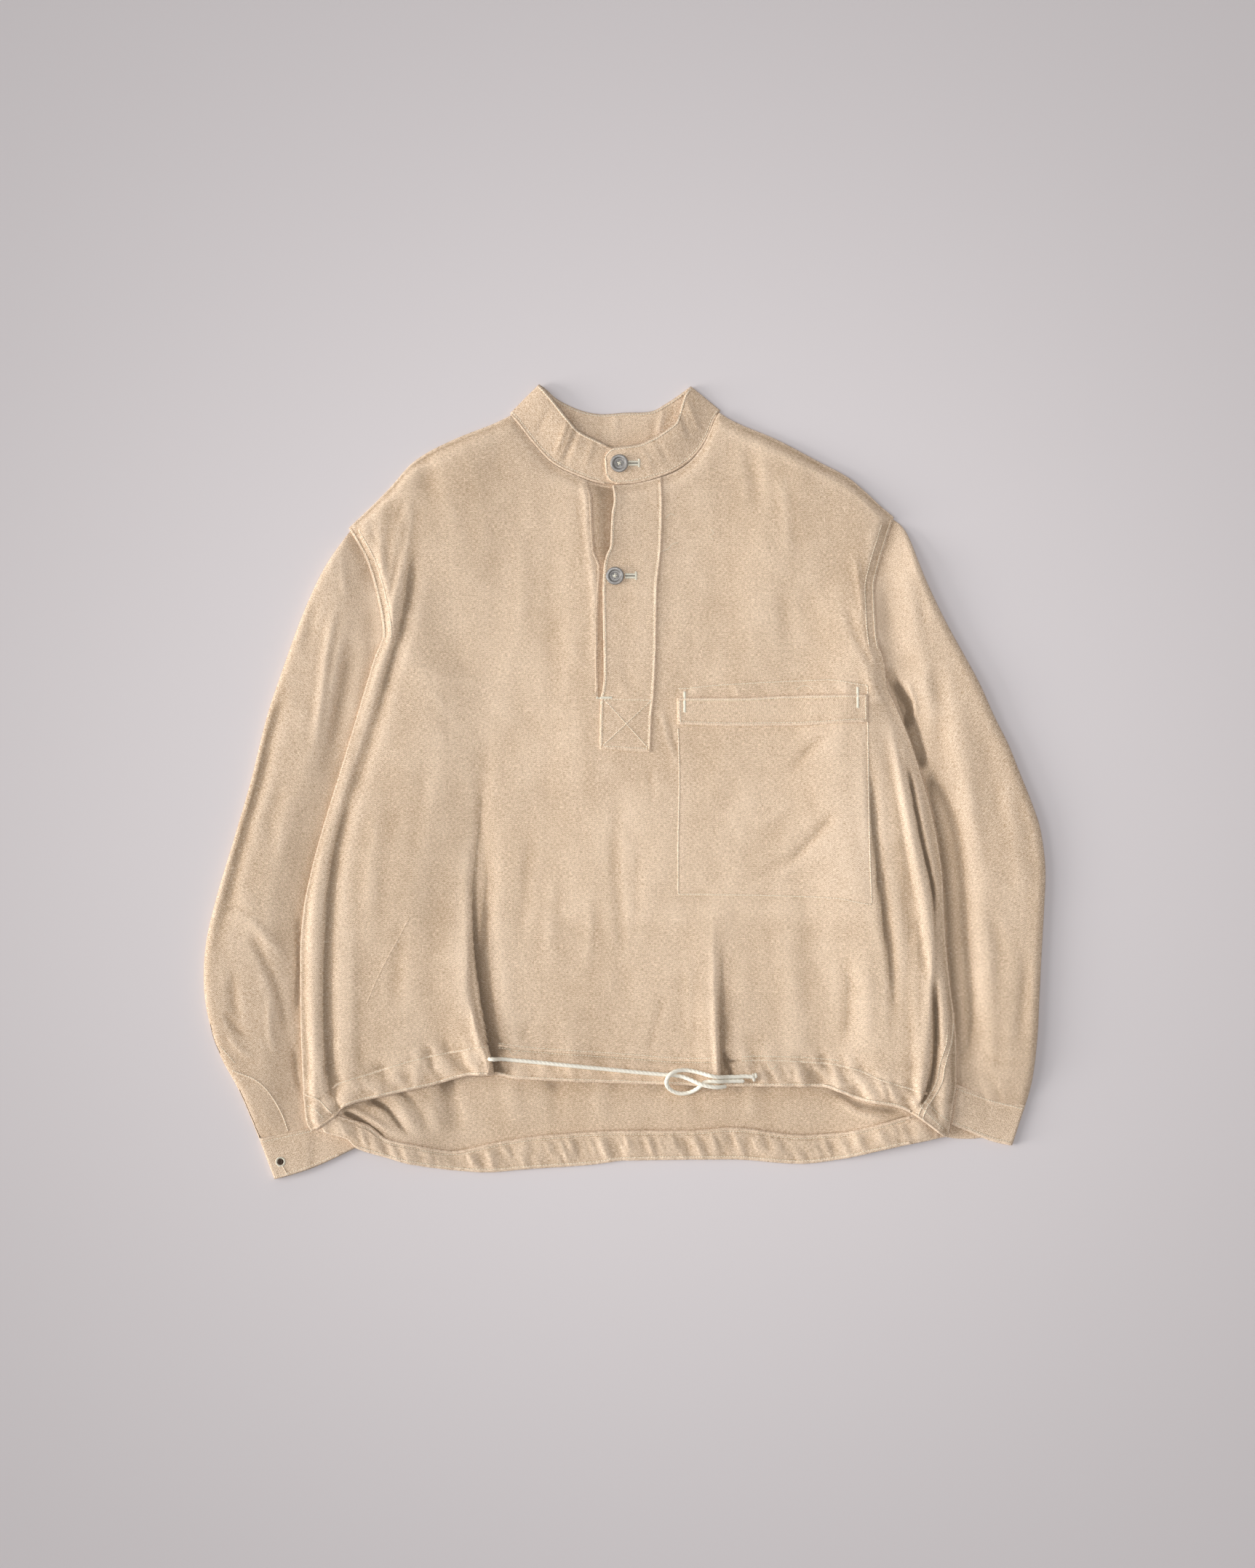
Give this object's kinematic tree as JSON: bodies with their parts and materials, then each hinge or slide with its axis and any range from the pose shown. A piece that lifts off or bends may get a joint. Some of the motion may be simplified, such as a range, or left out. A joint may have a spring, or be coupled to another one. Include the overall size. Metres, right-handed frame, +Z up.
{
  "type": "work smock laid flat",
  "caption": "Pull-over work smock in herringbone linen, laid flat, with a stand collar, a buttoned half placket, a chest welt pocket and a drawstring hem.",
  "frame": {"origin": "on the surface that the smock lies on, under the middle of its outline", "axes": "+Z up from the surface, +Y towards the collar, +X towards the wearer's left"},
  "size_m": [0.7847, 0.7424, 0.013],
  "materials": {
    "linen": "washed herringbone linen, matt, beige",
    "cord": "twisted cotton cord, matt, off-white",
    "button": "grey button with a raised rim, satin"
  },
  "bodies": {
    "root": {"back": "linen", "back_hem_casing": "linen", "front": "linen", "sleeve_right": "linen", "sleeve_left": "linen", "cuff_right": "linen", "cuff_left": "linen", "collar": "linen", "placket": "linen", "button_stand": "linen", "pocket_bag": "linen", "pocket_welt": "linen", "drawstring_right_end": "cord", "drawstring_left_end": "cord", "button_collar": "button", "button_placket": "button"}
  },
  "joints": []
}
